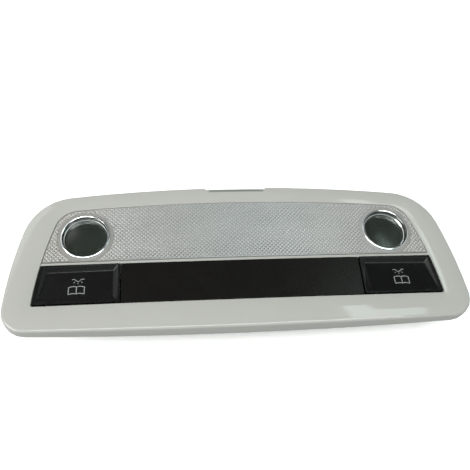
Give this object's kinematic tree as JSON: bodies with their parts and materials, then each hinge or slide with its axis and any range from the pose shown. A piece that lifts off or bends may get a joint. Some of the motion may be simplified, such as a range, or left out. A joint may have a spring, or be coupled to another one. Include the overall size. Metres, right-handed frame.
{
  "type": "rear cabin dome and reading lamp",
  "caption": "Rear roof lamp of a car cabin with a long ribbed lens, a reading lamp at each end, dark rocking keys and a tray housing with bulbs, board and harness socket.",
  "frame": {"origin": "centre of the lamp's back, at the bottom of its bounding box", "axes": "+X right seen from the cabin, -Y the edge with the keys, +Z out of the face, the way the light goes"},
  "size_m": [0.2522, 0.0882, 0.0402],
  "materials": {
    "grey_rim": "fine satin grain",
    "clear_lens": "translucent, moulded prism grid",
    "dark_panel": "satin",
    "dark_keys": "satin",
    "bright_ring": "bright plated",
    "smoked_glass": "polished",
    "mirror_coat": "vapour coated",
    "bulb_glass": "clear",
    "black_mouldings": "moulded",
    "white_reflector": "smooth white",
    "contact_brass": "stamped",
    "board": "solder mask",
    "white_plunger": "moulded",
    "spring_steel": "rolled",
    "tinned_pins": "tinned",
    "pale_housing": "moulded",
    "zinc_screws": "zinc plated"
  },
  "bodies": {
    "lamp": {"bezel": "grey_rim", "diffuser_lens": "clear_lens", "centre_panel": "dark_panel", "reading_ring_left": "bright_ring", "reading_ring_right": "bright_ring", "reading_lens_left": "smoked_glass", "reading_lens_right": "smoked_glass", "reading_reflector_left": "mirror_coat", "reading_reflector_right": "mirror_coat", "reading_bulb_left": "bulb_glass", "reading_bulb_right": "bulb_glass", "bulb_holder_left": "black_mouldings", "bulb_holder_right": "black_mouldings", "dome_reflector": "white_reflector", "dome_bulb": "bulb_glass", "festoon_contact_left": "contact_brass", "festoon_contact_right": "contact_brass", "circuit_board": "board", "switch_body_left": "black_mouldings", "switch_body_right": "black_mouldings", "return_spring_left": "spring_steel", "return_spring_right": "spring_steel", "connector_header": "black_mouldings", "connector_pins": "tinned_pins", "rear_housing": "pale_housing", "spring_clip_left": "spring_steel", "spring_clip_right": "spring_steel", "bezel_screws": "zinc_screws"},
    "left_button": {"reading_button_left": "dark_keys"},
    "right_button": {"reading_button_right": "dark_keys"},
    "left_plunger": {"switch_plunger_left": "white_plunger"},
    "right_plunger": {"switch_plunger_right": "white_plunger"}
  },
  "joints": [
    {"name": "left_button_turn", "type": "hinge", "parent": "lamp", "child": "left_button", "pos_m": [-0.088, -0.00765, 0.0316], "axis": [1, 0, 0], "range_deg": [0, 3.5], "stiffness_Nm_per_rad": 0.5, "springref_deg": -4.58},
    {"name": "right_button_turn", "type": "hinge", "parent": "lamp", "child": "right_button", "pos_m": [0.088, -0.00765, 0.0316], "axis": [1, 0, 0], "range_deg": [0, 3.5], "stiffness_Nm_per_rad": 0.5, "springref_deg": -4.58},
    {"name": "left_plunger_slide", "type": "slide", "parent": "lamp", "child": "left_plunger", "axis": [0, 0, -1], "range_m": [0, 0.00095], "deforming": ["return_spring_left"]},
    {"name": "right_plunger_slide", "type": "slide", "parent": "lamp", "child": "right_plunger", "axis": [0, 0, -1], "range_m": [0, 0.00095], "deforming": ["return_spring_right"]}
  ],
  "couplings": [
    {"joint": "left_plunger_slide", "follows": "left_button_turn", "m_per_rad": 0.015},
    {"joint": "right_plunger_slide", "follows": "right_button_turn", "m_per_rad": 0.015}
  ]
}
